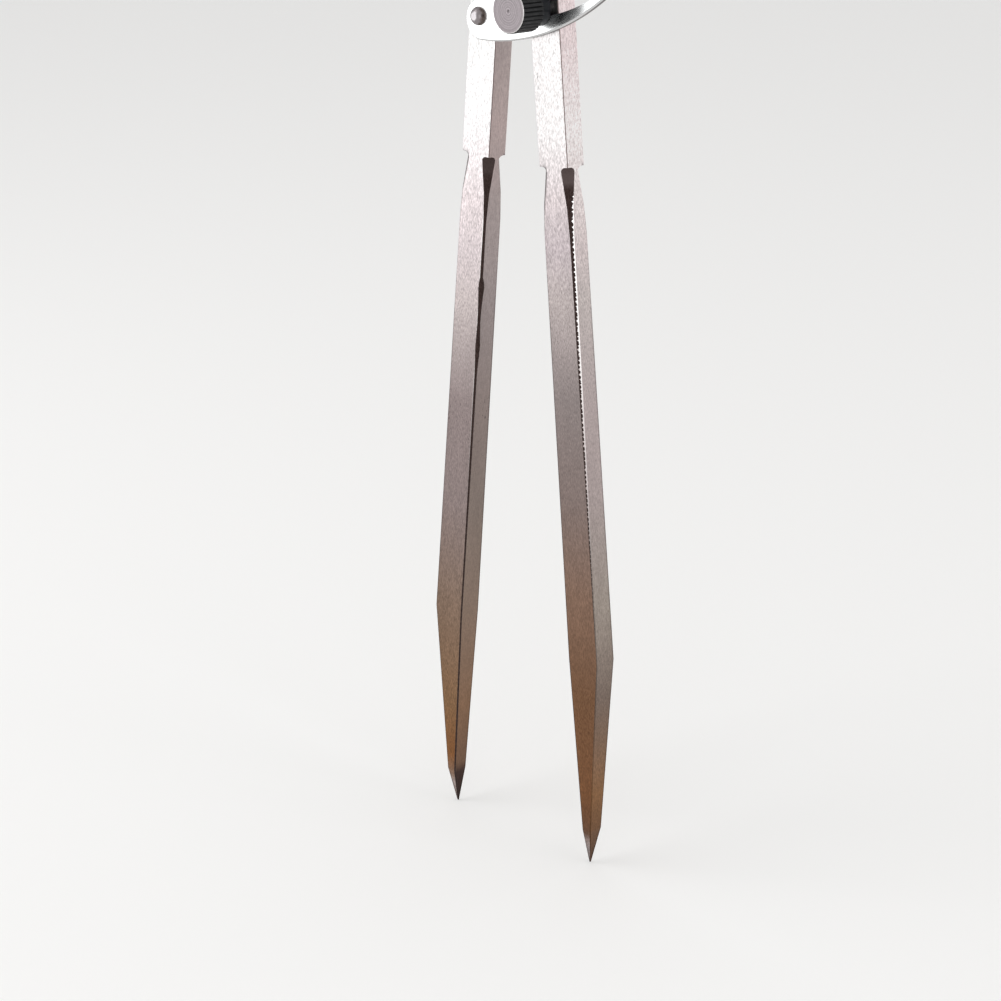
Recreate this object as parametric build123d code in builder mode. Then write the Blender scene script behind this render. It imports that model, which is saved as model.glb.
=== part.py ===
from build123d import *
import os
from math import acos, asin, atan2, cos, degrees, hypot, radians, sin, sqrt

os.makedirs("parts", exist_ok=True)

# Frame: the origin is on the hinge axis, in the middle of the head's thickness.
# +X runs from the left leg to the right leg, +Z points up out of the head,
# and -Y faces the person who uses the compass, the side that carries the wing.
# All lengths are millimetres and all angles are degrees.

# Opening of the two legs
rest_opening = 10.3
widest_opening = 45.0
mating_gap = 0.3

# Legs, measured along the leg from the point's tip
leg_length = 347.5
leg_width = 11.8
leg_thickness = 7.2
belly_below_neck = 16.5
belly_width = 12.1
belly_thickness = 7.45
taper_length = 72.5
taper_top_width = 12.4
taper_top_thickness = 8.0
point_length = 12.5
point_base_width = 3.7
point_base_thickness = 5.4
point_tip_size = 0.4
inner_arris_at_belly = 0.67
inner_arris_at_taper = 0.2
outer_arris_at_belly = 1.0
outer_arris_at_taper = 0.25
shank_arris = 0.2
point_arris = 0.3

# Neck: stopped chamfers on the four corners, where the ground blade begins
neck_height = 229.0
neck_cut_depth = 2.0
neck_cut_end_depth = 0.2
neck_cut_ledge = 0.7
neck_cut_shoulder = 12.0
neck_cut_shoulder_depth = 0.75
neck_cut_length = 24.0

# Hinge head: a fork on the left leg takes a tongue on the right leg
head_radius = 13.0
head_thickness = 10.4
swell_start = 40.0
swell_end = 19.0
tongue_thickness = 4.0
head_relief = 0.4
friction_washer_thickness = 0.5
friction_washer_radius = 11.0
face_play = 0.05

# Hinge hardware
bolt_radius = 4.0
fixed_fit = 0.02
running_fit = 0.05
bolt_head_radius = 7.5
bolt_head_rim = 1.6
bolt_head_height = 3.8
bolt_head_flat_radius = 5.4
bolt_slot_width = 1.6
bolt_slot_depth = 1.7
bolt_end_beyond_nut = 1.0
bolt_end_chamfer = 0.6
washer_radius = 8.8
washer_thickness = 1.4
washer_bore_play = 0.2
spring_washer_radius = 7.6
spring_washer_thickness = 0.8
spring_washer_dish = 0.4
nut_across_flats = 13.0
nut_height = 5.0
nut_corner_chamfer = 0.7

# Wing: a slotted arc plate in front of both legs, fixed to the left one
wing_thickness = 1.8
wing_clearance = 0.1
slot_radius = 72.1
slot_width = 5.6
slot_end_play = 0.3
wing_wall = 1.8
wing_edge_break = 0.5
wing_end_margin = 6.0
root_arc_radius = 84.0
root_join_angle = 29.7
root_blend_radius = 90.0
root_end_radius = 6.3
root_end_along = 0.8
root_end_below = 0.7

# Rivet that fixes the wing to the left leg
rivet_below_slot = 4.25
rivet_shank_radius = 2.0
rivet_head_radius = 2.8
rivet_head_rim = 0.35
rivet_head_height = 2.2
rivet_head_flat_radius = 1.1
rivet_tail_radius = 2.7
rivet_tail_depth = 0.8

# Clamp: a ribbed knob with a stud through the slot into the right leg
stud_radius = 2.5
stud_in_knob = 6.0
stud_short_of_back = 0.5
stud_end_chamfer = 0.5
collar_radius = 5.2
collar_length = 4.5
collar_edge = 0.3
collar_bore_play = 0.1
collar_face_play = 0.1
knob_radius = 6.5
knob_length = 8.1
knob_edge = 0.35
knob_rib_count = 32
knob_groove_width = 0.42
knob_dimple_radius = 0.45
knob_dimple_depth = 0.3

# Derived places
half_opening = radians(rest_opening / 2)
inner_face = mating_gap / 2
leg_middle = inner_face + leg_width / 2
half_leg = leg_thickness / 2
half_head = head_thickness / 2
half_tongue = tongue_thickness / 2
half_slit = half_tongue + face_play + friction_washer_thickness
wing_back = half_leg + wing_clearance
wing_front = wing_back + wing_thickness


def leg_plane(side):
    """The plane of a leg: x away from the other leg, y up the leg; side is 1 for the right leg."""
    return Plane(
        origin=(0, 0, 0),
        x_dir=(side * cos(half_opening), 0, sin(half_opening)),
        z_dir=(0, -side, 0),
    )


left_plane = leg_plane(-1)
right_plane = leg_plane(1)


def on_leg_middle(plane, orbit):
    """The point on a leg's middle line that lies at the distance orbit from the hinge axis."""
    return plane.from_local_coords(Vector(leg_middle, -sqrt(orbit**2 - leg_middle**2), 0))


rivet_orbit = slot_radius + rivet_below_slot
rivet_centre = on_leg_middle(left_plane, rivet_orbit)
clamp_centre = on_leg_middle(right_plane, slot_radius)
rivet_plane = Plane.XZ.shift_origin((rivet_centre.X, 0, rivet_centre.Z))
clamp_plane = Plane.XZ.shift_origin((clamp_centre.X, 0, clamp_centre.Z))


def polar(radius, angle, centre=(0, 0)):
    """A point of the wing's plane, with the angle measured from straight down towards +X."""
    turn = radians(angle)
    return (centre[0] + radius * sin(turn), centre[1] - radius * cos(turn))


def arc_between(radius, start, end, centre=(0, 0)):
    """An arc from one angle to another about a centre in the wing's plane."""
    return ThreePointArc(
        polar(radius, start, centre),
        polar(radius, (start + end) / 2, centre),
        polar(radius, end, centre),
    )


def leg_section(plane, height, width, thickness, arris, outer_arris=None):
    """A cross-section of a leg at a height above the tip, with its inner and outer corners chamfered."""
    foot = plane.from_local_coords(Vector(0, height - leg_length, 0))
    with BuildSketch(Plane(origin=foot, x_dir=plane.x_dir, z_dir=plane.y_dir)) as section:
        with Locations((inner_face + width / 2, 0)):
            Rectangle(width, thickness)
        chamfer(section.vertices().sort_by(Axis.X)[:2], length=arris)
        chamfer(section.vertices().sort_by(Axis.X)[-2:], length=outer_arris or arris)
    return section.sketch.face()


def neck_cut_outline(plane, corner_x, corner_z, inward_x, inward_z):
    """The outline of one stopped chamfer: deep under a hollow shoulder, running out below."""
    corner = plane.from_local_coords(Vector(corner_x, neck_height - leg_length, corner_z))
    inward = plane.x_dir * inward_x + plane.z_dir * inward_z
    hollow = neck_cut_depth - neck_cut_ledge
    cut_plane = Plane(origin=corner, x_dir=inward, z_dir=inward.cross(plane.y_dir))
    with BuildSketch(cut_plane) as outline:
        with BuildLine():
            CenterArc((neck_cut_ledge, -hollow), hollow, 0, 90)
            Polyline(
                (neck_cut_depth, -hollow),
                (neck_cut_shoulder_depth, -neck_cut_shoulder),
                (neck_cut_end_depth, -neck_cut_length),
                (-neck_cut_depth, -neck_cut_length),
                (-neck_cut_depth, 0),
                (neck_cut_ledge, 0),
            )
        make_face()
    return outline.sketch.face()


def forge_leg(plane):
    """A leg without its hinge cuts: point, taper, belly, neck, shank, swell and head disc."""
    tip = leg_section(plane, 0, point_tip_size, point_tip_size, point_tip_size / 8)
    point_base = leg_section(plane, point_length, point_base_width, point_base_thickness, point_arris)
    taper_top = leg_section(
        plane,
        taper_length,
        taper_top_width,
        taper_top_thickness,
        inner_arris_at_taper,
        outer_arris_at_taper,
    )
    belly = leg_section(
        plane,
        neck_height - belly_below_neck,
        belly_width,
        belly_thickness,
        inner_arris_at_belly,
        outer_arris_at_belly,
    )
    blade_top = leg_section(
        plane,
        neck_height,
        leg_width,
        leg_thickness,
        inner_arris_at_belly,
        outer_arris_at_belly,
    )
    loft([tip, point_base, taper_top, belly, blade_top], ruled=True)
    neck = leg_section(plane, neck_height, leg_width, leg_thickness, shank_arris)
    swell_foot = leg_section(plane, leg_length - swell_start, leg_width, leg_thickness, shank_arris)
    swell_top = leg_section(plane, leg_length - swell_end, leg_width, head_thickness, shank_arris)
    head_middle = leg_section(plane, leg_length, leg_width, head_thickness, shank_arris)
    loft([neck, swell_foot, swell_top, head_middle], ruled=True)
    for corner_x, inward_x in ((inner_face, 1), (inner_face + leg_width, -1)):
        for corner_z, inward_z in ((half_leg, -1), (-half_leg, 1)):
            outline = neck_cut_outline(plane, corner_x, corner_z, inward_x, inward_z)
            extrude(outline, amount=2 * neck_cut_depth, both=True, mode=Mode.SUBTRACT)
    extrude(disc(plane.offset(-half_head), head_radius), amount=head_thickness)


def disc(plane, radius, bore_radius=0):
    """A round face on a plane, with a round hole in it when a bore radius is given."""
    with BuildSketch(plane) as outline:
        Circle(radius)
        if bore_radius:
            Circle(bore_radius, mode=Mode.SUBTRACT)
    return outline.sketch.face()


# Left leg: the fixed leg, with the fork of the hinge
with BuildPart() as left_leg:
    forge_leg(left_plane)
    slit = disc(left_plane.offset(-half_slit), head_radius + head_relief)
    extrude(slit, amount=2 * half_slit, mode=Mode.SUBTRACT)
    with Locations(Plane.XZ.offset(half_head)):
        Hole(bolt_radius + fixed_fit)
    rivet_way = disc(rivet_plane.offset(-half_leg), rivet_shank_radius + fixed_fit)
    extrude(rivet_way, amount=leg_thickness, mode=Mode.SUBTRACT)
    sink_mouth = disc(rivet_plane.offset(-half_leg), rivet_tail_radius + fixed_fit)
    sink_throat = disc(rivet_plane.offset(rivet_tail_depth - half_leg), rivet_shank_radius + fixed_fit)
    loft([sink_mouth, sink_throat], mode=Mode.SUBTRACT)
left_leg.part.label = "left_leg"

# Right leg: the moving leg, with the tongue of the hinge and the clamp's hole
with BuildPart() as right_leg:
    forge_leg(right_plane)
    for side_plane in (right_plane.offset(half_tongue), right_plane.offset(-half_head)):
        cheek_room = disc(side_plane, head_radius + head_relief)
        extrude(cheek_room, amount=half_head - half_tongue, mode=Mode.SUBTRACT)
    with Locations(Plane.XZ.offset(half_head)):
        Hole(bolt_radius + running_fit)
    stud_way = disc(clamp_plane.offset(-half_leg), stud_radius + running_fit)
    extrude(stud_way, amount=leg_thickness, mode=Mode.SUBTRACT)
right_leg.part.label = "right_leg"

# Friction washers: one each side of the tongue, seated on the fork's cheeks
with BuildPart() as friction_washers:
    for washer_plane in (
        Plane.XZ.offset(half_slit - friction_washer_thickness),
        Plane.XZ.offset(-half_slit),
    ):
        washer = disc(washer_plane, friction_washer_radius, bolt_radius + running_fit)
        extrude(washer, amount=friction_washer_thickness)
friction_washers.part.label = "friction_washers"

# Hinge washers: one under the bolt's head, one behind the head of the compass
with BuildPart() as hinge_washers:
    for washer_plane in (Plane.XZ.offset(half_head), Plane.XZ.offset(-half_head - washer_thickness)):
        washer = disc(washer_plane, washer_radius, bolt_radius + washer_bore_play)
        extrude(washer, amount=washer_thickness)
hinge_washers.part.label = "hinge_washers"

# Spring washer: a dished ring between the back washer and the nut
spring_seat = half_head + washer_thickness
spring_height = spring_washer_thickness + spring_washer_dish
spring_bore = bolt_radius + washer_bore_play
with BuildPart() as spring_washer:
    with BuildSketch(Plane.XY):
        with BuildLine():
            Polyline(
                (spring_bore, spring_seat + spring_washer_dish),
                (spring_washer_radius, spring_seat),
                (spring_washer_radius, spring_seat + spring_washer_thickness),
                (spring_bore, spring_seat + spring_height),
                close=True,
            )
        make_face()
    revolve(axis=Axis.Y)
spring_washer.part.label = "spring_washer"

# Hinge nut: a hexagon with its corners turned off on both faces
nut_seat = spring_seat + spring_height
nut_corner_radius = nut_across_flats / 2 / cos(radians(30))
with BuildPart() as hinge_nut:
    with BuildSketch(Plane.XZ.offset(-nut_seat - nut_height)):
        RegularPolygon(nut_corner_radius, 6)
    extrude(amount=nut_height)
    with BuildSketch(Plane.XY):
        with BuildLine():
            Polyline(
                (0, nut_seat),
                (nut_corner_radius - nut_corner_chamfer, nut_seat),
                (nut_corner_radius, nut_seat + nut_corner_chamfer / 2),
                (nut_corner_radius, nut_seat + nut_height - nut_corner_chamfer / 2),
                (nut_corner_radius - nut_corner_chamfer, nut_seat + nut_height),
                (0, nut_seat + nut_height),
                close=True,
            )
        make_face()
    revolve(axis=Axis.Y, mode=Mode.INTERSECT)
    with Locations(Plane.XZ.offset(-nut_seat)):
        Hole(bolt_radius + fixed_fit)
hinge_nut.part.label = "hinge_nut"

# Hinge bolt: a slotted domed head in front, a shank through the head, a thread behind
bolt_head_seat = -half_head - washer_thickness
bolt_end = nut_seat + nut_height + bolt_end_beyond_nut
with BuildPart() as hinge_bolt:
    with BuildSketch(Plane.XY):
        with BuildLine():
            Polyline(
                (0, bolt_head_seat - bolt_head_height),
                (bolt_head_flat_radius, bolt_head_seat - bolt_head_height),
                (bolt_head_radius, bolt_head_seat - bolt_head_rim),
                (bolt_head_radius, bolt_head_seat),
                (bolt_radius, bolt_head_seat),
                (bolt_radius, bolt_end - bolt_end_chamfer),
                (bolt_radius - bolt_end_chamfer, bolt_end),
                (0, bolt_end),
                (0, bolt_head_seat - bolt_head_height),
            )
        make_face()
    revolve(axis=Axis.Y)
    with BuildSketch(Plane.XZ.offset(-bolt_head_seat + bolt_head_height)):
        Rectangle(2 * bolt_head_radius, bolt_slot_width, rotation=35)
    extrude(amount=-bolt_slot_depth, mode=Mode.SUBTRACT)
hinge_bolt.part.label = "hinge_bolt"

# Wing: the lower edge follows a wide root arc that runs into a parallel slotted band.
# The slot is concentric with the hinge; the root's round end surrounds the rivet.
clamp_angle = degrees(atan2(clamp_centre.X, -clamp_centre.Z))
end_play_angle = degrees(slot_end_play / slot_radius)
slot_start = clamp_angle - rest_opening - end_play_angle
slot_end = clamp_angle + widest_opening - rest_opening + end_play_angle
wing_end = slot_end + degrees(wing_end_margin / slot_radius)
stud_play = slot_width / 2 - stud_radius
wing_outer_radius = slot_radius + slot_width / 2 + wing_wall
wing_inner_radius = slot_radius - slot_width / 2 - wing_wall

# The round end is centred beside the rivet, and the root arc runs from under it
# to the outer edge of the band: its centre is found from its two end points.
rivet_angle = degrees(atan2(rivet_centre.X, -rivet_centre.Z))
end_angle = rivet_angle + degrees(root_end_along / rivet_orbit)
end_centre = polar(rivet_orbit + root_end_below, end_angle)
join = polar(wing_outer_radius, root_join_angle)
chord = hypot(join[0] - end_centre[0], join[1] - end_centre[1])
chord_angle = atan2(join[1] - end_centre[1], join[0] - end_centre[0])
inner_reach = root_arc_radius - root_end_radius
reach_angle = acos((chord**2 + inner_reach**2 - root_arc_radius**2) / (2 * chord * inner_reach))
root_centre = (
    end_centre[0] + inner_reach * cos(chord_angle + reach_angle),
    end_centre[1] + inner_reach * sin(chord_angle + reach_angle),
)
root_start = degrees(atan2(end_centre[0] - root_centre[0], root_centre[1] - end_centre[1]))
root_finish = degrees(atan2(join[0] - root_centre[0], root_centre[1] - join[1]))

# A straight edge leaves the band's inner edge at the slot's end and touches the round end
shoulder = polar(wing_inner_radius, slot_start)
shoulder_reach = hypot(shoulder[0] - end_centre[0], shoulder[1] - end_centre[1])
shoulder_direction = atan2(shoulder[1] - end_centre[1], shoulder[0] - end_centre[0])
touch = 90 + degrees(shoulder_direction + acos(root_end_radius / shoulder_reach))
end_touch = polar(root_end_radius, touch, end_centre)
end_left = (end_centre[0] - root_end_radius, end_centre[1])

band_middle = (wing_outer_radius + wing_inner_radius) / 2
band_half = (wing_outer_radius - wing_inner_radius) / 2
slot_line = CenterArc((0, 0), slot_radius, slot_start - 90, slot_end - slot_start)
cap_centre = polar(band_middle, wing_end)
cap_tip = (
    cap_centre[0] + band_half * cos(radians(wing_end)),
    cap_centre[1] + band_half * sin(radians(wing_end)),
)

with BuildPart() as wing:
    with BuildSketch(Plane.XZ.offset(wing_back)):
        with BuildLine():
            arc_between(root_arc_radius, root_start, root_finish, root_centre)
            arc_between(wing_outer_radius, root_join_angle, wing_end)
            ThreePointArc(polar(wing_outer_radius, wing_end), cap_tip, polar(wing_inner_radius, wing_end))
            arc_between(wing_inner_radius, wing_end, slot_start)
            Line(shoulder, end_touch)
            ThreePointArc(end_touch, end_left, polar(root_arc_radius, root_start, root_centre))
        make_face()
        join_corner = vertices().sort_by_distance((*join, 0))[0]
        fillet(join_corner, root_blend_radius)
        SlotArc(slot_line, slot_width, mode=Mode.SUBTRACT)
        with Locations((rivet_centre.X, rivet_centre.Z)):
            Circle(rivet_shank_radius + fixed_fit, mode=Mode.SUBTRACT)
    extrude(amount=wing_thickness)
    front_face = faces().sort_by(Axis.Y)[0]
    chamfer(front_face.outer_wire().edges(), wing_edge_break)
wing.part.label = "wing"

# Wing rivet: a low flat-topped dome in front and a tail peened flush with the leg's back
rivet_foot = Plane(origin=(rivet_centre.X, 0, rivet_centre.Z))
with BuildPart() as wing_rivet:
    with BuildSketch(rivet_foot):
        with BuildLine():
            Polyline(
                (0, -wing_front - rivet_head_height),
                (rivet_head_flat_radius, -wing_front - rivet_head_height),
            )
            ThreePointArc(
                (rivet_head_flat_radius, -wing_front - rivet_head_height),
                (
                    rivet_head_flat_radius + 0.62 * (rivet_head_radius - rivet_head_flat_radius),
                    -wing_front - rivet_head_height + 0.36 * (rivet_head_height - rivet_head_rim),
                ),
                (rivet_head_radius, -wing_front - rivet_head_rim),
            )
            Polyline(
                (rivet_head_radius, -wing_front - rivet_head_rim),
                (rivet_head_radius, -wing_front),
                (rivet_shank_radius, -wing_front),
                (rivet_shank_radius, half_leg - rivet_tail_depth),
                (rivet_tail_radius, half_leg),
                (0, half_leg),
                (0, -wing_front - rivet_head_height),
            )
        make_face()
    revolve(axis=Axis(rivet_foot.origin, (0, 1, 0)))
wing_rivet.part.label = "wing_rivet"

# Clamp pieces stand on one axis in front of the right leg
collar_seat = wing_front + collar_face_play
knob_seat = collar_seat + collar_length + collar_face_play

# Thrust collar: the smooth ring between the wing and the knob
with BuildPart() as thrust_collar:
    ring = disc(clamp_plane.offset(collar_seat), collar_radius, stud_radius + collar_bore_play)
    extrude(ring, amount=collar_length)
    rims = edges().filter_by(GeomType.CIRCLE).filter_by(lambda e: e.radius > stud_radius * 1.5)
    chamfer(rims, length=collar_edge)
thrust_collar.part.label = "thrust_collar"

# Clamp knob: a turned head with straight ribs, a faced front and a turning centre
with BuildPart() as clamp_knob:
    with BuildSketch(clamp_plane.offset(knob_seat)):
        Circle(knob_radius)
    extrude(amount=knob_length)
    chamfer(edges().filter_by(GeomType.CIRCLE).sort_by(Axis.Y)[0], length=knob_edge)
    with BuildSketch(clamp_plane.offset(knob_seat)):
        with PolarLocations(knob_radius, knob_rib_count):
            Rectangle(knob_groove_width, knob_groove_width, rotation=45)
    extrude(amount=knob_length, mode=Mode.SUBTRACT)
    with BuildSketch(clamp_plane.offset(knob_seat)):
        Circle(stud_radius + fixed_fit)
    extrude(amount=stud_in_knob + fixed_fit, mode=Mode.SUBTRACT)
    with Locations(clamp_plane.offset(knob_seat + knob_length)):
        Cone(
            0,
            knob_dimple_radius,
            knob_dimple_depth,
            align=(Align.CENTER, Align.CENTER, Align.MAX),
            mode=Mode.SUBTRACT,
        )
clamp_knob.part.label = "clamp_knob"

# Clamp stud: pressed into the knob, through the collar and the slot, screwed into the leg
stud_length = knob_seat + stud_in_knob + half_leg - stud_short_of_back
with BuildPart() as clamp_stud:
    with BuildSketch(clamp_plane.offset(-half_leg + stud_short_of_back)):
        Circle(stud_radius)
    extrude(amount=stud_length)
    chamfer(edges().filter_by(GeomType.CIRCLE).sort_by(Axis.Y)[-1], length=stud_end_chamfer)
clamp_stud.part.label = "clamp_stud"

pieces = (
    left_leg,
    right_leg,
    friction_washers,
    hinge_washers,
    spring_washer,
    hinge_nut,
    hinge_bolt,
    wing,
    wing_rivet,
    thrust_collar,
    clamp_knob,
    clamp_stud,
)
for piece in pieces:
    export_step(piece.part, f"parts/{piece.part.label}.step")

print(f"stud clearance in the slot {stud_play:.2f} mm, slot from {slot_start:.1f} to {slot_end:.1f} degrees")
print(f"legs at rest {2 * leg_length * sin(half_opening):.1f} mm apart at the points")
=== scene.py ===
import bpy
from math import sin, cos, pi, radians
from types import SimpleNamespace
from mathutils import Matrix, Vector


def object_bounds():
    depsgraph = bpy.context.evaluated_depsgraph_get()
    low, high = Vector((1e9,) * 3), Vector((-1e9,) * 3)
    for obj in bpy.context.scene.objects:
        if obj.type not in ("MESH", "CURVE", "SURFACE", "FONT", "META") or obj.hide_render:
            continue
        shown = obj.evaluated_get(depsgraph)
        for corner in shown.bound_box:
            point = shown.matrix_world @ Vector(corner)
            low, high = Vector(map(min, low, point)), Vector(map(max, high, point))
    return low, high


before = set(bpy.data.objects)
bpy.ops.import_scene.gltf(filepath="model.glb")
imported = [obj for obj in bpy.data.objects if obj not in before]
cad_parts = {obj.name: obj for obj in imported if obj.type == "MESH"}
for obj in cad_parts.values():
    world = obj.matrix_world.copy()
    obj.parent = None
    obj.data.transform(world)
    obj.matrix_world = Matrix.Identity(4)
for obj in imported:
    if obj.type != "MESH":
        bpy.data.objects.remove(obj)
cadLow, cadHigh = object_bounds()
print("frame loaded:", len(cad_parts), "nodes")


# Small helpers for building node materials. A value is a number, a colour or another node's output

def isSocket(value):
    return isinstance(value, bpy.types.NodeSocket)


def plug(tree, socket, value):
    if isSocket(value):
        tree.links.new(value, socket)
    else:
        socket.default_value = value


def startMaterial(name):
    mat = bpy.data.materials.new(name)
    mat.use_nodes = True
    return mat, mat.node_tree


def setShader(tree, values):
    shader = tree.nodes["Principled BSDF"]
    for key, value in values.items():
        plug(tree, shader.inputs[key], value)


def addNode(tree, kind, values, **settings):
    node = tree.nodes.new(kind)
    for key, value in settings.items():
        setattr(node, key, value)
    for key, value in values.items():
        plug(tree, node.inputs[key], value)
    return node


def doMath(tree, operation, *values):
    return addNode(tree, "ShaderNodeMath", dict(enumerate(values)), operation=operation).outputs[0]


def product(tree, first, *others):
    for other in others:
        first = doMath(tree, "MULTIPLY", first, other)
    return first


def remap(tree, value, low, high, toLow=0.0, toHigh=1.0, shape="LINEAR"):
    # held at toLow below low, and at toHigh above high
    values = {0: value, 1: low, 2: high, 3: toLow, 4: toHigh}
    return addNode(tree, "ShaderNodeMapRange", values, clamp=True, interpolation_type=shape).outputs[0]


def fadeOut(tree, value, low, high):
    return remap(tree, value, low, high, 1.0, 0.0)


def spread(tree, value, low, high):
    # lays the middle of a noise over a range
    return remap(tree, value, 0.3, 0.7, low, high)


def mixValues(tree, factor, a, b):
    return addNode(tree, "ShaderNodeMix", {0: factor, 2: a, 3: b}, data_type="FLOAT").outputs[0]


def mixColours(tree, factor, a, b, blend="MIX"):
    a, b = (colour if isSocket(colour) else (*colour, 1.0) for colour in (a, b))
    node = addNode(tree, "ShaderNodeMix", {0: factor, 6: a, 7: b}, data_type="RGBA", blend_type=blend)
    return node.outputs[2]


def darken(tree, colour, shade):
    grey = addNode(tree, "ShaderNodeCombineXYZ", {0: shade, 1: shade, 2: shade}).outputs[0]
    return mixColours(tree, 1.0, colour, grey, "MULTIPLY")


def heightTint(tree, height, stops):
    # stops are (millimetres below the hinge, colour), from the points upwards
    reach = stops[0][0]
    tone = remap(tree, height, -reach / 1000.0, 0.0)
    node = addNode(tree, "ShaderNodeValToRGB", {0: tone})
    points = node.color_ramp.elements
    while len(points) < len(stops):
        points.new(0.5)
    for point, (below, colour) in zip(points, stops):
        point.position = (reach - below) / reach
        point.color = (*colour, 1.0)
    return node.outputs[0]


def heightRun(tree, height, stops):
    # stops are (millimetres below the hinge, value), joined by straight lines
    highest = max(value for below, value in stops)
    shares = heightTint(tree, height, [(below, (value / highest,) * 3) for below, value in stops])
    return doMath(tree, "MULTIPLY", shares, highest)


def noise(tree, spot, density, detail, roughness):
    # density is in cells per metre: one number, or one for each axis where the noise is drawn out
    if isinstance(density, tuple):
        spot = addNode(tree, "ShaderNodeMapping", {"Vector": spot, "Scale": density}).outputs[0]
        density = 1.0
    values = {"Vector": spot, "Scale": density, "Detail": detail, "Roughness": roughness}
    return addNode(tree, "ShaderNodeTexNoise", values).outputs[0]


def bump(tree, height, distance, strength, under=None):
    values = {"Height": height, "Distance": distance, "Strength": strength}
    if under is not None:
        values["Normal"] = under
    return addNode(tree, "ShaderNodeBump", values).outputs[0]


def surfacePlace(tree, kind="Object"):
    # where a spot lies on the part, or with "Normal" which way the surface looks there
    return addNode(tree, "ShaderNodeTexCoord", {}).outputs[kind]


def axesOf(tree, vector):
    return tuple(addNode(tree, "ShaderNodeSeparateXYZ", {0: vector}).outputs)


def wayFrom(tree, centre, spot):
    return addNode(tree, "ShaderNodeVectorMath", {0: spot, 1: centre}, operation="SUBTRACT").outputs[0]


def axisDistance(tree, offset):
    # from the axis that runs from front to back through the centre
    axes = axesOf(tree, offset)
    flat = addNode(tree, "ShaderNodeCombineXYZ", {0: axes[0], 2: axes[2]}).outputs[0]
    return addNode(tree, "ShaderNodeVectorMath", {0: flat}, operation="LENGTH").outputs["Value"]


def dress(material, *nodeNames):
    for nodeName in nodeNames:
        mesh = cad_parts[nodeName].data
        mesh.materials.clear()
        mesh.materials.append(material)


# Legs: ground steel with forging scale left in the corners of the neck and along the arrises

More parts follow.
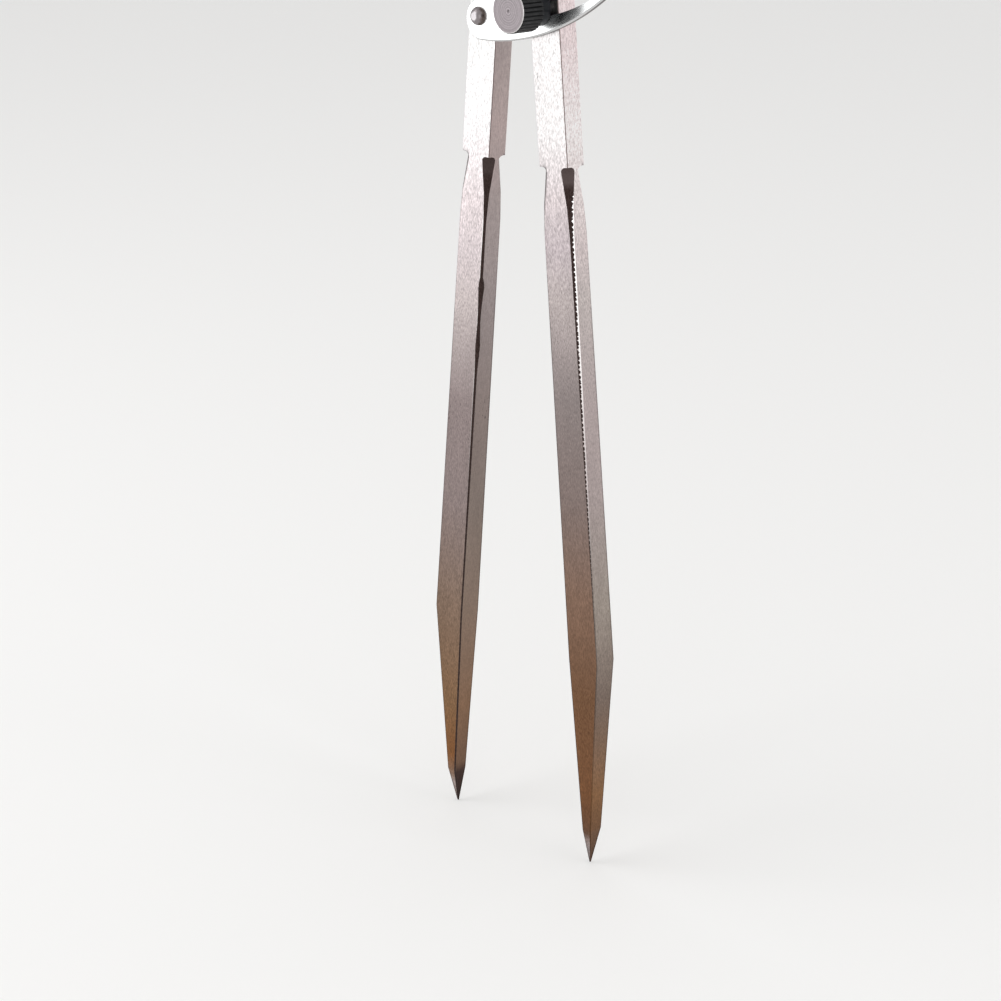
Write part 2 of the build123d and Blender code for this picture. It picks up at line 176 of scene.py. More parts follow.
leg = {
    "halfOpening": radians(5.15),
    "innerFace": 0.00015,
    "neck": -0.1185,
    # at millimetres below the hinge: how far out the outer face lies, half the thickness, both arrises
    "outerFace": ((346, 0.0005), (335, 0.00385), (275, 0.01255), (135, 0.01225), (118.5, 0.01195)),
    "frontFace": ((346, 0.0002), (335, 0.0027), (275, 0.0040), (135, 0.003725), (118.5, 0.0036)),
    "innerArris": ((346, 0.0001), (335, 0.0003), (275, 0.0002), (135, 0.00067), (118.5, 0.00067)),
    "outerArris": ((346, 0.0001), (335, 0.0003), (275, 0.00025), (135, 0.0010), (118.5, 0.0010)),
    "leastCorner": 0.00001,
    # how squarely a flat face looks one way, how much a corner looks two ways, and how far down the
    # hollows of the neck look, with the heights they lie between
    "squareTurn": (0.75, 0.9),
    "cornerTurn": (0.20, 0.30),
    "hollowTurn": (-0.45, -0.30),
    "hollowSpan": (-0.1215, -0.1183),

    # how much of the outer arris the scale covers, the most it may cover, and where it starts
    "darkShare": (
        (346, 0.0), (330, 0.0), (290, 0.32), (262, 0.48), (235, 0.52), (203, 0.54),
        (170, 0.62), (140, 0.78), (129, 0.92), (123, 1.15),
    ),
    "darkMost": ((346, 0.55), (240, 0.60), (200, 0.66), (170, 0.76), (140, 0.92), (123, 1.2)),
    "darkFrom": (-0.30, -0.24),
    "darkBlend": 0.04,
    # the teeth of the scale: pitch, reach, height from gap to tip, and how uneven they are
    "toothPitch": 0.0015,
    "toothReach": ((346, 0.0), (285, 0.0), (240, 0.36), (200, 0.40), (170, 0.32), (128, 0.16), (122, 0.0)),
    "toothHeight": (-1.1, 0.3),
    "toothTip": 0.7,
    "toothSway": 5.0,
    "toothUneven": (-0.65, 0.45),
    "unevenness": ((0.0, 0.0, 800.0), 2.0, 0.6),
    # the rest of that bevel, painted bright as a highlight
    "highlightFrom": (0.49, 0.59),
    "highlightRun": ((346, 0.0), (245, 0.0), (222, 0.24), (203, 0.38), (180, 0.72), (160, 1.0), (118, 1.0)),
    "paintedHighlight": (0.92, 0.895, 0.885),
    # the dark line of the inner arris, and the blots of scale that widen it on the left leg
    "line": ((347, 0.00025), (320, 0.00038), (275, 0.00034), (235, 0.0004), (200, 0.0005), (150, 0.00064)),
    "lineTop": (-0.150, -0.145),
    "lineUneven": (-0.00008, 0.00008),
    "lineBlend": 0.0001,
    "blots": (
        (346, 0.0), (189, 0.0), (185, 0.00025), (180, 0.0006), (176, 0.00034), (172, 0.00006),
        (168, 0.00014), (164.5, 0.00042), (161, 0.0008), (158.6, 0.0008), (157.4, 0.0),
    ),
    "blotOnWideFace": 0.55,
    # the scale itself, and the stretch below the neck where it is lighter
    "scaleDark": (0.018, 0.008, 0.006),
    "scaleLight": (0.056, 0.034, 0.030),
    "scaleTop": (0.098, 0.072, 0.070),
    "scaleTopSpan": (-0.1250, -0.1230),
    "crust": ((2400.0, 2400.0, 1440.0), 3.0, 0.7),
    "crustTone": (0.38, 0.70),

    # the neck's cut across a wide face, and how dark and how wide the painted shade along the outline of
    # the face is
    "cutRun": ((346, 0.0), (136, 0.0), (130.5, 0.00106), (119.8, 0.00283), (118.5, 0.0022)),
    "outlineShadeRun": ((346, 0.8), (172, 0.8), (150, 0.3), (141, 0.2), (131, 0.9), (118.7, 1.0), (118.3, 0.0)),
    "outlineWider": ((346, 0.0), (145, 0.0), (132, 0.00025), (118, 0.0003)),
    "outlineBlend": (0.0001, 0.0004),
    "backBlend": (0.0001, 0.0005),
    "edgeShadeTone": 0.30,
    # the low end of the outer bevel is painted darker too, as shade
    "lowBevelShadeSpan": (-0.238, -0.215),
    "lowBevelShadeTone": 0.62,
    # the painted highlight line beside the left leg's inner arris: how wide, from where up, and how bright
    "glintBlend": (0.00025, 0.0004),
    "glintFrom": (-0.235, -0.175),
    "glintMost": 0.45,
    # the corners above the neck, painted dark as a line of shade
    "shadeHairline": (0.13, 0.095, 0.092),

    # grinding marks on the wide and the narrow faces, the short grain over them, clouds and pits
    "longMarks": ((2800.0, 2800.0, 130.0), 3.0, 0.7),
    "crossMarks": ((220.0, 220.0, 3200.0), 3.0, 0.6),
    "shortGrain": ((3400.0, 3400.0, 950.0), 2.0, 0.6),
    "clouds": ((130.0, 130.0, 28.0), 3.0, 0.55),
    "pits": ((1500.0, 1500.0, 900.0), 2.0, 0.55),
    "markTone": (0.93, 1.05),
    "pitTone": (0.70, 0.78, 1.0, 0.5),
    # how far the short grain darkens and lightens the faces, and how much of it the narrow ones show
    "grainTone": (-1.1, 1.0),
    "grainRun": ((346, 0.36), (300, 0.32), (240, 0.26), (200, 0.24), (165, 0.34), (90, 0.34), (40, 0.20)),
    "innerGrain": 0.5,
    "outerGrain": 0.85,
    # gloss and relief, of the steel and of the scale
    "roughness": (0.29, 0.42),
    "scaleRoughness": 0.75,
    "scaleMetallic": 0.10,
    "specular": 0.22,
    "grainHeight": 0.5,
    "markRelief": (0.00003, 0.4),
    "scaleRelief": (0.00012, 0.8),

    # the narrow faces' colours, mostly painted reflection and shade that darken and brown them towards the
    # point, the far flank of the left leg and the rounded head
    "outer": (
        (347, (0.10, 0.05, 0.03)),
        (322, (0.268, 0.136, 0.062)),
        (288, (0.2055, 0.153, 0.126)),
        (254, (0.378, 0.325, 0.287)),
        (222, (0.429, 0.3595, 0.350)),
        (190, (0.499, 0.422, 0.417)),
        (158, (0.6115, 0.546, 0.531)),
        (143, (0.7365, 0.643, 0.641)),
        (128, (0.84, 0.7535, 0.7445)),
        (108, (1.0, 0.92, 0.915)),
        (80, (0.90, 0.765, 0.77)),
    ),
    "inner": (
        (347, (0.035, 0.018, 0.016)),
        (336, (0.06, 0.034, 0.028)),
        (332, (0.19, 0.11, 0.07)),
        (310, (0.243, 0.141, 0.0855)),
        (271, (0.261, 0.19, 0.15)),
        (235, (0.251, 0.201, 0.1765)),
        (200, (0.2775, 0.224, 0.209)),
        (166, (0.3535, 0.30, 0.295)),
        (133, (0.41, 0.346, 0.34)),
        (108, (0.49, 0.395, 0.383)),
        (80, (0.43, 0.365, 0.358)),
    ),
    "farFlank": (0.57, 0.645, 0.655),
    "head": (0.70, 0.675, 0.665),
    "headFrom": (-0.045, -0.020),
}

# what each leg has of its own: the wide faces' colours, holding painted reflection and shade, where they
# are pitted, and how much lighter the scale is below the neck
leftLeg = {
    "side": -1.0,
    "front": (
        (347, (0.10, 0.05, 0.045)),
        (344, (0.34, 0.26, 0.24)),
        (340, (0.42, 0.34, 0.32)),
        (337, (0.27, 0.165, 0.11)),
        (329, (0.232, 0.098, 0.034)),
        (310, (0.23, 0.127, 0.063)),
        (271, (0.232, 0.158, 0.117)),
        (235, (0.257, 0.204, 0.196)),
        (200, (0.264, 0.215, 0.211)),
        (182, (0.366, 0.315, 0.311)),
        (166, (0.49, 0.43, 0.425)),
        (149, (0.53, 0.47, 0.48)),
        (133, (0.585, 0.522, 0.53)),
        (108, (0.67, 0.65, 0.655)),
        (80, (0.67, 0.66, 0.655)),
    ),
    "pitRun": ((346, 0.0), (216, 0.0), (209, 0.07), (199, 0.07), (193, 0.0)),
    "scaleTopShare": 0.35,
}
rightLeg = {
    "side": 1.0,
    "front": (
        (347, (0.07, 0.035, 0.025)),
        (345, (0.26, 0.21, 0.20)),
        (341, (0.33, 0.275, 0.265)),
        (339, (0.35, 0.27, 0.245)),
        (336.5, (0.15, 0.078, 0.048)),
        (331, (0.17, 0.080, 0.040)),
        (322, (0.198, 0.089, 0.040)),
        (288, (0.188, 0.096, 0.051)),
        (254, (0.228, 0.141, 0.101)),
        (222, (0.214, 0.166, 0.153)),
        (190, (0.239, 0.203, 0.197)),
        (174, (0.318, 0.274, 0.269)),
        (158, (0.404, 0.355, 0.349)),
        (143, (0.452, 0.396, 0.41)),
        (128, (0.508, 0.453, 0.46)),
        (108, (0.63, 0.61, 0.61)),
        (80, (0.63, 0.61, 0.61)),
    ),
    "pitRun": ((346, 0.0), (118, 0.0), (105, 0.04), (76, 0.07), (60, 0.03), (45, 0.0)),
    "scaleTopShare": 0.8,
}


def turnToLeg(tree, vector, side):
    values = {"Vector": vector, "Angle": side * leg["halfOpening"]}
    return addNode(tree, "ShaderNodeVectorRotate", values, rotation_type="Y_AXIS").outputs[0]


def legPlaces(tree, side):
    # in the leg's own axes: across is away from the other leg, height is up along the leg
    at = SimpleNamespace()
    at.along = turnToLeg(tree, surfacePlace(tree), side)
    x, depth, at.height = axesOf(tree, at.along)
    look, forward, upward = axesOf(tree, turnToLeg(tree, surfacePlace(tree, "Normal"), side))
    across = doMath(tree, "MULTIPLY", x, side)
    outward = doMath(tree, "MULTIPLY", look, side)
    sideways = doMath(tree, "ABSOLUTE", outward)
    frontways = doMath(tree, "ABSOLUTE", forward)
    at.wideFace = remap(tree, frontways, *leg["squareTurn"])
    at.narrowFace = remap(tree, sideways, *leg["squareTurn"])
    at.outerHalf = doMath(tree, "GREATER_THAN", outward, 0.0)
    at.frontHalf = doMath(tree, "LESS_THAN", depth, 0.0)
    at.backHalf = doMath(tree, "GREATER_THAN", depth, 0.0)
    at.belowNeck = doMath(tree, "LESS_THAN", at.height, leg["neck"])

    # corner faces look half sideways and half forwards; the hollow shoulders of the neck look down
    askew = doMath(tree, "MULTIPLY", sideways, frontways)
    at.corner = remap(tree, askew, *leg["cornerTurn"], shape="SMOOTHSTEP")
    hollowLow, hollowHigh = leg["hollowSpan"]
    at.hollow = product(
        tree,
        fadeOut(tree, upward, *leg["hollowTurn"]),
        doMath(tree, "GREATER_THAN", at.height, hollowLow),
        doMath(tree, "LESS_THAN", at.height, hollowHigh),
    )

    # distances from the planes of the narrow and the wide faces
    at.fromInner = doMath(tree, "SUBTRACT", across, leg["innerFace"])
    at.fromOuter = doMath(tree, "SUBTRACT", heightRun(tree, at.height, leg["outerFace"]), across)
    fromSide = doMath(tree, "MAXIMUM", doMath(tree, "MINIMUM", at.fromInner, at.fromOuter), 0.0)
    halfThick = heightRun(tree, at.height, leg["frontFace"])
    at.fromFront = doMath(tree, "SUBTRACT", halfThick, doMath(tree, "ABSOLUTE", depth))
    at.fromFront = doMath(tree, "MAXIMUM", at.fromFront, 0.0)
    at.fromCorner = doMath(tree, "ADD", fromSide, at.fromFront)
    at.fromCorner = doMath(tree, "MAXIMUM", at.fromCorner, leg["leastCorner"])
    at.innerArris = heightRun(tree, at.height, leg["innerArris"])
    at.outerArris = heightRun(tree, at.height, leg["outerArris"])
    return at


def legScale(tree, at, side):
    # the scale on the outer arris ends in short teeth; the rest of that bevel is painted bright as a
    # highlight
    share = doMath(tree, "DIVIDE", at.fromFront, at.fromCorner)
    uneven = noise(tree, at.along, *leg["unevenness"])
    beat = doMath(tree, "MULTIPLY", at.height, pi / leg["toothPitch"])
    swing = doMath(tree, "ADD", beat, doMath(tree, "MULTIPLY", uneven, leg["toothSway"]))
    lobes = doMath(tree, "ABSOLUTE", doMath(tree, "SINE", swing))
    teeth = remap(tree, lobes, 0.0, leg["toothTip"], *leg["toothHeight"])
    teeth = doMath(tree, "ADD", teeth, spread(tree, uneven, *leg["toothUneven"]))
    reach = doMath(tree, "MULTIPLY", teeth, heightRun(tree, at.height, leg["toothReach"]))
    edge = doMath(tree, "ADD", heightRun(tree, at.height, leg["darkShare"]), reach)
    edge = doMath(tree, "MINIMUM", edge, heightRun(tree, at.height, leg["darkMost"]))
    scaled = remap(tree, doMath(tree, "SUBTRACT", edge, share), -leg["darkBlend"], leg["darkBlend"])
    paintedHighlight = product(
        tree,
        at.corner, at.outerHalf, at.belowNeck,
        doMath(tree, "SUBTRACT", 1.0, scaled),
        heightRun(tree, at.height, leg["highlightRun"]),
        remap(tree, share, *leg["highlightFrom"]),
    )
    scaled = product(tree, scaled, remap(tree, at.height, *leg["darkFrom"]))
    cornerScale = product(tree, at.corner, mixValues(tree, at.outerHalf, 1.0, scaled), at.belowNeck)

    # the inner arris keeps a dark line down to the point, with blots of scale that widen it
    ragged = doMath(tree, "ADD", at.fromCorner, spread(tree, uneven, *leg["lineUneven"]))
    width = doMath(tree, "MAXIMUM", heightRun(tree, at.height, leg["line"]), at.innerArris)
    if side < 0:
        blots = heightRun(tree, at.height, leg["blots"])
        blots = product(tree, blots, mixValues(tree, at.wideFace, 1.0, leg["blotOnWideFace"]))
        width = doMath(tree, "ADD", width, blots)
    line = product(
        tree,
        fadeOut(tree, doMath(tree, "SUBTRACT", ragged, width), 0.0, leg["lineBlend"]),
        doMath(tree, "LESS_THAN", at.fromInner, at.fromOuter),
        at.frontHalf,
        fadeOut(tree, at.height, *leg["lineTop"]),
    )
    dark = doMath(tree, "MAXIMUM", doMath(tree, "MAXIMUM", cornerScale, at.hollow), line)
    return dark, paintedHighlight


def legGrain(tree, at, pitRun):
    # grinding marks run along the wide faces and across the narrow ones, under a coarse short grain
    longMarks = noise(tree, at.along, *leg["longMarks"])
    crossMarks = noise(tree, at.along, *leg["crossMarks"])
    marks = mixValues(tree, at.wideFace, crossMarks, longMarks)
    grain = noise(tree, at.along, *leg["shortGrain"])
    clouds = noise(tree, at.along, *leg["clouds"])
    pits = doMath(tree, "ADD", noise(tree, at.along, *leg["pits"]), heightRun(tree, at.height, pitRun))
    narrowShare = mixValues(tree, at.outerHalf, leg["innerGrain"], leg["outerGrain"])
    grainDepth = product(
        tree,
        heightRun(tree, at.height, leg["grainRun"]),
        mixValues(tree, at.wideFace, narrowShare, 1.0),
    )
    shade = product(
        tree,
        spread(tree, marks, *leg["markTone"]),
        doMath(tree, "MULTIPLY_ADD", grainDepth, spread(tree, grain, *leg["grainTone"]), 1.0),
        spread(tree, clouds, *leg["markTone"]),
        remap(tree, pits, *leg["pitTone"]),
    )
    return marks, grain, shade


def legEdgeShade(tree, at, side):
    # painted shade: the wide faces' outline on the left, the back edges and the low end of the outer bevel
    # are darker
    if side < 0:
        fromEdge, arris = at.fromOuter, at.outerArris
    else:
        fromEdge, arris = at.fromInner, at.innerArris
    arris = doMath(tree, "MAXIMUM", arris, heightRun(tree, at.height, leg["cutRun"]))
    arris = doMath(tree, "ADD", arris, heightRun(tree, at.height, leg["outlineWider"]))
    outlineShade = fadeOut(tree, doMath(tree, "SUBTRACT", fromEdge, arris), *leg["outlineBlend"])
    outlineShade = product(tree, at.wideFace, outlineShade)
    arris = mixValues(tree, at.outerHalf, at.innerArris, at.outerArris)
    backEdgeShade = fadeOut(tree, doMath(tree, "SUBTRACT", at.fromFront, arris), *leg["backBlend"])
    backEdgeShade = product(tree, at.narrowFace, backEdgeShade, at.backHalf)
    edgeShades = doMath(tree, "MAXIMUM", backEdgeShade, outlineShade)
    edgeShades = product(tree, edgeShades, heightRun(tree, at.height, leg["outlineShadeRun"]))
    lowBevelShade = product(tree, at.corner, fadeOut(tree, at.height, *leg["lowBevelShadeSpan"]), at.outerHalf)
    return product(
        tree,
        remap(tree, edgeShades, 0.0, 1.0, 1.0, leg["edgeShadeTone"]),
        remap(tree, lowBevelShade, 0.0, 1.0, 1.0, leg["lowBevelShadeTone"]),
    )


def legReflectedTint(tree, at, side, front):
    # mostly painted reflection and shade: the blade darkens and browns towards the point
    outer = heightTint(tree, at.height, leg["outer"])
    if side < 0:
        outer = mixColours(tree, 1.0, outer, leg["farFlank"], "MULTIPLY")
    narrow = mixColours(tree, at.outerHalf, heightTint(tree, at.height, leg["inner"]), outer)
    narrow = mixColours(tree, remap(tree, at.height, *leg["headFrom"]), narrow, leg["head"])
    return mixColours(tree, at.wideFace, narrow, heightTint(tree, at.height, front))


def legSteel(name, own):
    mat, tree = startMaterial(name)
    side = own["side"]
    at = legPlaces(tree, side)
    dark, paintedHighlight = legScale(tree, at, side)
    marks, grain, shade = legGrain(tree, at, own["pitRun"])
    shade = product(tree, shade, legEdgeShade(tree, at, side))
    steel = darken(tree, legReflectedTint(tree, at, side, own["front"]), shade)

    # painted highlights: bright lines run beside the inner arris on the left leg and on the outer bevel of
    # both
    if side < 0:
        fromArris = doMath(tree, "SUBTRACT", at.fromInner, at.innerArris)
        paintedGlint = product(
            tree,
            fadeOut(tree, fromArris, *leg["glintBlend"]),
            at.wideFace, at.frontHalf, at.belowNeck,
            remap(tree, at.height, *leg["glintFrom"], 0.0, leg["glintMost"]),
        )
        steel = mixColours(tree, paintedGlint, steel, leg["paintedHighlight"])
    # painted highlight along the outer bevel of both legs
    steel = mixColours(tree, paintedHighlight, steel, leg["paintedHighlight"])
    # painted shade: a dark hairline on the corners above the neck
    shadeHairline = product(tree, at.corner, doMath(tree, "SUBTRACT", 1.0, at.belowNeck))
    steel = mixColours(tree, shadeHairline, steel, leg["shadeHairline"])

    # crusty scale over it all, less metallic and rougher than the steel
    crust = noise(tree, at.along, *leg["crust"])
    scale = mixColours(tree, remap(tree, crust, *leg["crustTone"]), leg["scaleDark"], leg["scaleLight"])
    top = remap(tree, at.height, *leg["scaleTopSpan"], 0.0, own["scaleTopShare"])
    scale = mixColours(tree, top, scale, leg["scaleTop"])
    relief = doMath(tree, "ADD", marks, doMath(tree, "MULTIPLY", grain, leg["grainHeight"]))
    relief = bump(tree, relief, *leg["markRelief"])
    setShader(tree, {
        "Base Color": mixColours(tree, dark, steel, scale),
        "Metallic": remap(tree, dark, 0.0, 1.0, 1.0, leg["scaleMetallic"]),
        "Roughness": mixValues(tree, dark, spread(tree, marks, *leg["roughness"]), leg["scaleRoughness"]),
        "Specular IOR Level": leg["specular"],
        "Normal": bump(tree, doMath(tree, "MULTIPLY", crust, dark), *leg["scaleRelief"], relief),
    })
    return mat


dress(legSteel("groundSteelLeft", leftLeg), "left_leg")
dress(legSteel("groundSteelRight", rightLeg), "right_leg")
print("legs ground and scaled")


# Wing: polished plate, its broken edges duller than its face and painted dark as shade

wing = {
    "steel": (0.895, 0.912, 0.916),
    "markTone": 0.95,
    "marks": ((60.0, 900.0, 900.0), 3.0, 0.6),
    "relief": (0.00001, 0.06),
    "haze": (90.0, 3.0, 0.5),
    "roughness": (0.21, 0.32),
    "faceTurn": (0.50, 0.80),  # how far forwards the surface looks, from edge to face
    # the broken edges' colour is painted shade, varied by a noise
    "edge": (0.125, 0.11, 0.107),
    "edgeMottle": (700.0, 3.0, 0.6),
    "edgeShadeTone": (0.75, 1.25),
    "edgeRoughness": 0.34,
}


def wingSteel():
    mat, tree = startMaterial("polishedPlate")
    spot = surfacePlace(tree)
    frontways = doMath(tree, "ABSOLUTE", axesOf(tree, surfacePlace(tree, "Normal"))[1])
    face = remap(tree, frontways, *wing["faceTurn"])
    marks = noise(tree, spot, *wing["marks"])
    marked = tuple(wing["markTone"] * part for part in wing["steel"])
    plate = mixColours(tree, spread(tree, marks, 0.0, 1.0), marked, wing["steel"])
    mottle = spread(tree, noise(tree, spot, *wing["edgeMottle"]), *wing["edgeShadeTone"])
    rough = spread(tree, noise(tree, spot, *wing["haze"]), *wing["roughness"])
    setShader(tree, {
        "Base Color": mixColours(tree, face, darken(tree, wing["edge"], mottle), plate),
        "Metallic": 1.0,
        "Roughness": mixValues(tree, face, wing["edgeRoughness"], rough),
        "Normal": bump(tree, marks, *wing["relief"]),
    })
    return mat


dress(wingSteel(), "wing")


# Rivet: a peened head, bright on its flat, with a painted shadow round its foot

rivet = {
    "centre": Vector((-0.012857, 0.0, -0.07526)),
    "flat": (0.48, 0.455, 0.47),
    "dome": (0.265, 0.237, 0.243),
    "foot": (0.12, 0.095, 0.085),
    # the radii between which the flat turns into the dome, and the dome into the painted shadow at the
    # foot
    "flatRadius": (0.0011, 0.0014),
    "footRadius": (0.00225, 0.00265),
    "uneven": (-0.00025, 0.00025),
    "hammering": (620.0, 2.0, 0.5),
    "roughness": (0.26, 0.42),
    "relief": (0.00012, 0.6),
}


def rivetSteel():
    mat, tree = startMaterial("rivetSteel")
    spot = surfacePlace(tree)
    radius = axisDistance(tree, wayFrom(tree, rivet["centre"], spot))
    hammer = noise(tree, spot, *rivet["hammering"])
    radius = doMath(tree, "ADD", radius, spread(tree, hammer, *rivet["uneven"]))
    colour = mixColours(tree, remap(tree, radius, *rivet["flatRadius"]), rivet["flat"], rivet["dome"])
    colour = mixColours(tree, remap(tree, radius, *rivet["footRadius"]), colour, rivet["foot"])
    setShader(tree, {
        "Base Color": colour,
        "Metallic": 1.0,
        "Roughness": spread(tree, hammer, *rivet["roughness"]),
        "Normal": bump(tree, hammer, *rivet["relief"]),
    })
    return mat


dress(rivetSteel(), "wing_rivet")


# The hinge's fasteners and the clamp's stud: plain oiled metal, with a thread's grooves where they show

fastener = {
    # colour and roughness of each metal
    "steel": ((0.58, 0.57, 0.56), 0.32),
    "springSteel": ((0.34, 0.34, 0.36), 0.38),
    "brass": ((0.72, 0.55, 0.27), 0.36),
    "stainTone": 0.75,
    "stains": (420.0, 4.0, 0.6),
    "stainFrom": (0.35, 0.68),
    "grain": ((900.0, 5200.0, 900.0), 2.0, 0.6),
    "grainRoughness": (-0.06, 0.10),
    "grainRelief": (0.00002, 0.4),
    # pitch of a thread, and how far behind the hinge's middle it starts
    "boltThread": (0.00125, 0.012),
    "studThread": (0.0008, -0.02),
    "threadRelief": (0.00025, 1.0),
}


def plainMetal(name, metal, thread=None):
    mat, tree = startMaterial(name)
    colour, roughness = fastener[metal]
    spot = surfacePlace(tree)
    stains = remap(tree, noise(tree, spot, *fastener["stains"]), *fastener["stainFrom"])
    stained = tuple(fastener["stainTone"] * part for part in colour)
    grain = noise(tree, spot, *fastener["grain"])
    smoothest, roughest = (roughness + change for change in fastener["grainRoughness"])
    relief = bump(tree, grain, *fastener["grainRelief"])
    if thread:
        pitch, start = fastener[thread]
        depth = axesOf(tree, spot)[1]
        groove = doMath(tree, "SINE", doMath(tree, "MULTIPLY", depth, 2.0 * pi / pitch))
        groove = doMath(tree, "MULTIPLY", groove, doMath(tree, "GREATER_THAN", depth, start))
        relief = bump(tree, groove, *fastener["threadRelief"], relief)
    setShader(tree, {
        "Base Color": mixColours(tree, stains, stained, colour),
        "Metallic": 1.0,
        "Roughness": spread(tree, grain, smoothest, roughest),
        "Normal": relief,
    })
    return mat


dress(plainMetal("boltSteel", "steel", "boltThread"), "hinge_bolt")
dress(plainMetal("studSteel", "steel", "studThread"), "clamp_stud")
dress(plainMetal("fastenerSteel", "steel"), "hinge_nut", "hinge_washers")
dress(plainMetal("springSteel", "springSteel"), "spring_washer")
dress(plainMetal("frictionBrass", "brass"), "friction_washers")


# Clamp knob: blackened ribs and a bare turned face, with painted highlights on its rim and on the ribs'
# crests

knob = {
    "centre": Vector((0.012475, 0.0, -0.071013)),
    "black": (0.005, 0.005, 0.0055),
    "crest": (0.031, 0.031, 0.033),
    "bare": (0.232, 0.208, 0.218),
    "rimHighlight": (0.60, 0.58, 0.58),
    "bareTurn": -0.5,  # a surface that looks further forwards than this is bare
    "bareRadius": 0.0063,
    "rimRadius": 0.0061,
    "crestRadius": (0.00638, 0.00648),
    # turned rings, how uneven they are, and the specks on the bare face
    "ringPitch": 0.00068,
    "ringTone": (0.89, 1.10),
    "ringHeight": 0.5,
    "unevenRings": (1900.0, 2.0, 0.6),
    "unevenTone": (0.35, 0.65, 0.86, 1.15),
    "specks": (1700.0, 2.0, 0.6),
    "speckTone": (0.92, 1.08),
    # how the painted highlight lies in patches on the crests
    "crestPatches": ((1500.0, 500.0, 1500.0), 3.0, 0.6),
    "glintShare": (0.45, 0.70, 0.15, 1.0),
    "blackMetallic": 0.25,
    "specular": 0.3,
    "roughness": (0.34, 0.50),
    "bareRoughness": 0.36,
    "relief": (0.00002, 0.6),
}


def knobMetal():
    mat, tree = startMaterial("blackKnob")
    offset = wayFrom(tree, knob["centre"], surfacePlace(tree))
    radius = axisDistance(tree, offset)
    facing = axesOf(tree, surfacePlace(tree, "Normal"))[1]
    bareHere = doMath(tree, "LESS_THAN", facing, knob["bareTurn"])
    bareHere = product(tree, bareHere, doMath(tree, "LESS_THAN", radius, knob["bareRadius"]))
    rimHere = product(tree, bareHere, doMath(tree, "GREATER_THAN", radius, knob["rimRadius"]))

    # the turned rings are fine tool marks with a few deeper, lighter ones
    rings = doMath(tree, "SINE", doMath(tree, "MULTIPLY", radius, 2.0 * pi / knob["ringPitch"]))
    along = addNode(tree, "ShaderNodeCombineXYZ", {0: radius}).outputs[0]
    ringTone = product(
        tree,
        remap(tree, rings, -1.0, 1.0, *knob["ringTone"]),
        remap(tree, noise(tree, along, *knob["unevenRings"]), *knob["unevenTone"]),
        spread(tree, noise(tree, offset, *knob["specks"]), *knob["speckTone"]),
    )
    # the rim is painted bright as a highlight
    bare = mixColours(tree, rimHere, darken(tree, knob["bare"], ringTone), knob["rimHighlight"])

    # the ribs' crests are painted lighter in patches, a painted highlight
    patchNoise = noise(tree, offset, *knob["crestPatches"])
    crest = remap(tree, radius, *knob["crestRadius"])
    paintedGlint = product(tree, crest, remap(tree, patchNoise, *knob["glintShare"]))
    black = mixColours(tree, paintedGlint, knob["black"], knob["crest"])
    rough = spread(tree, patchNoise, *knob["roughness"])
    relief = mixValues(tree, bareHere, patchNoise, doMath(tree, "MULTIPLY", rings, knob["ringHeight"]))
    setShader(tree, {
        "Base Color": mixColours(tree, bareHere, black, bare),
        "Metallic": remap(tree, bareHere, 0.0, 1.0, knob["blackMetallic"], 1.0),
        "Roughness": mixValues(tree, bareHere, rough, knob["bareRoughness"]),
        "Specular IOR Level": knob["specular"],
        "Normal": bump(tree, relief, *knob["relief"]),
    })
    return mat


dress(knobMetal(), "clamp_knob")


# Thrust collar: blued, with fine lathe marks and paler patches

collar = {
    "blued": (0.0048, 0.0054, 0.0072),
    "paleTone": 1.9,
    "patches": (500.0, 3.0, 0.6),
    "patchFrom": (0.35, 0.65),
    "lathe": ((150.0, 5200.0, 150.0), 2.0, 0.6),
    "roughness": (0.30, 0.42),
    "metallic": 0.5,
    "specular": 0.35,
    "relief": (0.00001, 0.5),
}


def collarMetal():
    mat, tree = startMaterial("bluedCollar")
    spot = surfacePlace(tree)
    lathe = noise(tree, spot, *collar["lathe"])
    patches = remap(tree, noise(tree, spot, *collar["patches"]), *collar["patchFrom"])
    pale = tuple(collar["paleTone"] * part for part in collar["blued"])
    setShader(tree, {
        "Base Color": mixColours(tree, patches, collar["blued"], pale),
        "Metallic": collar["metallic"],
        "Roughness": spread(tree, lathe, *collar["roughness"]),
        "Specular IOR Level": collar["specular"],
        "Normal": bump(tree, lathe, *collar["relief"]),
    })
    return mat


dress(collarMetal(), "thrust_collar")
print("wing, rivet, fasteners and clamp finished")


# Floor, soft light and camera

studio = {
    "floorGap": 0.0002,
    "floorSize": 14.0,
    "floor": (0.90, 0.895, 0.885),
    "floorRoughness": 0.85,
    "sky": (1.0, 1.0, 1.0),
    "skyStrength": 0.82,
    # where each light hangs, where it points, its width and height, and its power
    "lights": {
        "keyLight": ((-1.1, -1.6, 1.3), (0.0, 0.0, -0.15), (1.6, 1.6), 10.0),
        "fillLight": ((1.7, 0.2, 0.9), (0.0, 0.0, -0.15), (1.2, 1.2), 4.0),
        "faceLight": ((-0.75, -0.75, -0.04), (0.0, 0.0, -0.12), (1.0, 0.58), 2.2),
        "bevelLight": ((0.95, -0.95, 0.0), (0.0, 0.0, -0.15), (0.7, 0.6), 1.6),
    },
}


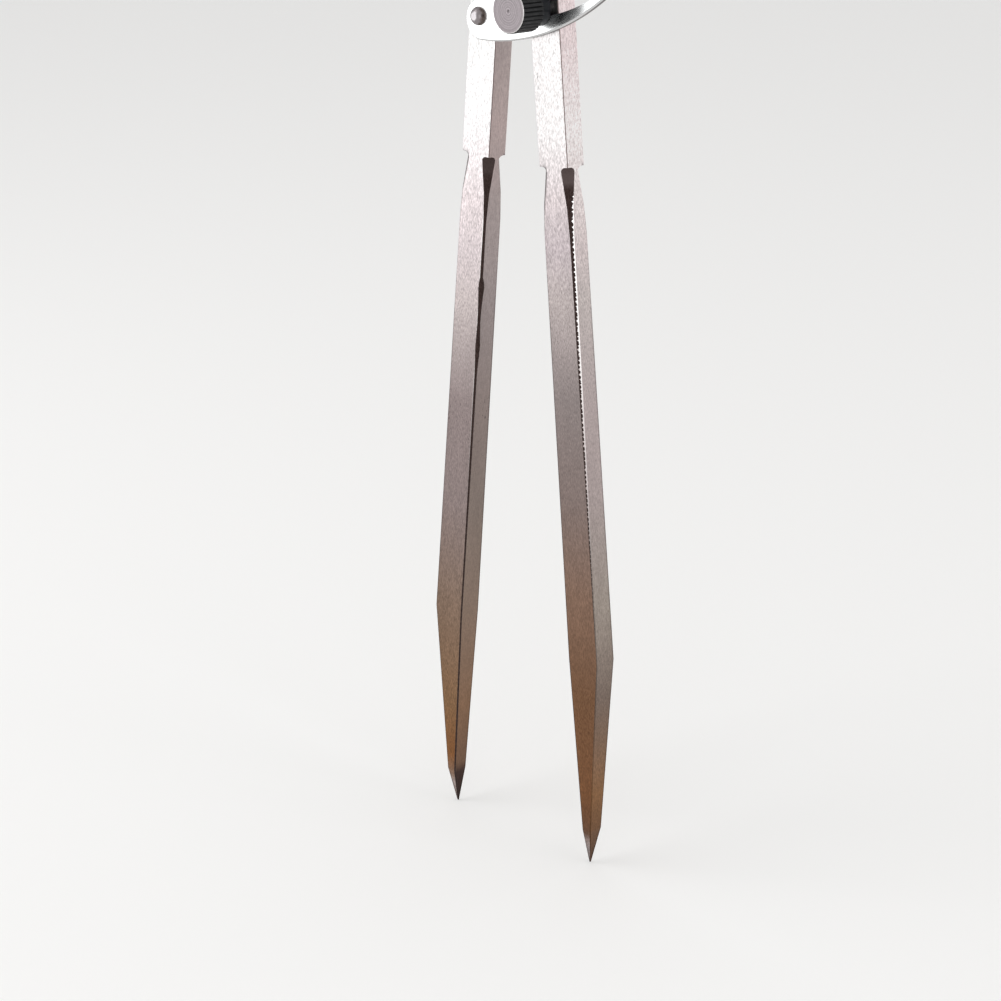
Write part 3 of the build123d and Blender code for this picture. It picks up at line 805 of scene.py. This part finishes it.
def layFloor():
    half = studio["floorSize"] / 2
    level = cadLow[2] - studio["floorGap"]
    corners = [(x, y, level) for x, y in ((-half, -half), (half, -half), (half, half), (-half, half))]
    mesh = bpy.data.meshes.new("studioFloor")
    mesh.from_pydata(corners, [], [(0, 1, 2, 3)])
    floor = bpy.data.objects.new("studioFloor", mesh)
    bpy.context.scene.collection.objects.link(floor)
    mat, tree = startMaterial("paleFloor")
    setShader(tree, {"Base Color": (*studio["floor"], 1.0), "Roughness": studio["floorRoughness"]})
    mesh.materials.append(mat)


def hangLight(name, place, target, size, power):
    lamp = bpy.data.lights.new(name, "AREA")
    lamp.shape = "RECTANGLE"
    lamp.size, lamp.size_y = size
    lamp.energy = power
    light = bpy.data.objects.new(name, lamp)
    light.location = place
    light.rotation_mode = "QUATERNION"
    light.rotation_quaternion = (Vector(target) - Vector(place)).to_track_quat("-Z", "Y")
    light.visible_camera = False
    bpy.context.scene.collection.objects.link(light)


def lightSky():
    world = bpy.data.worlds.new("softSky")
    bpy.context.scene.world = world
    world.use_nodes = True
    sky = world.node_tree.nodes["Background"]
    sky.inputs["Color"].default_value = (*studio["sky"], 1.0)
    sky.inputs["Strength"].default_value = studio["skyStrength"]


cameraSetup = {
    "place": (0.45327, -0.45804, -0.00346),
    "azimuth": radians(45.32),
    "elevation": radians(19.18),
    "roll": radians(-0.22),
    "lens": 76.27,  # millimetres, as the sensor's width
    "sensor": 36.0,
    "clip": (0.01, 60.0),
}


def placeCamera():
    az, el, roll = (cameraSetup[key] for key in ("azimuth", "elevation", "roll"))
    back = Vector((sin(az) * cos(el), -cos(az) * cos(el), sin(el)))
    right = Vector((cos(az), sin(az), 0.0))
    up = back.cross(right)
    right, up = right * cos(roll) + up * sin(roll), up * cos(roll) - right * sin(roll)
    data = bpy.data.cameras.new("benchCamera")
    data.lens = cameraSetup["lens"]
    data.sensor_width = cameraSetup["sensor"]
    data.clip_start, data.clip_end = cameraSetup["clip"]
    camera = bpy.data.objects.new("benchCamera", data)
    camera.rotation_mode = "QUATERNION"
    camera.rotation_quaternion = Matrix((right, up, back)).transposed().to_quaternion()
    camera.location = cameraSetup["place"]
    bpy.context.scene.collection.objects.link(camera)
    bpy.context.scene.camera = camera


layFloor()
lightSky()
for name, settings in studio["lights"].items():
    hangLight(name, *settings)
placeCamera()
bpy.context.scene.view_settings.view_transform = "Standard"
print("studio and camera set")
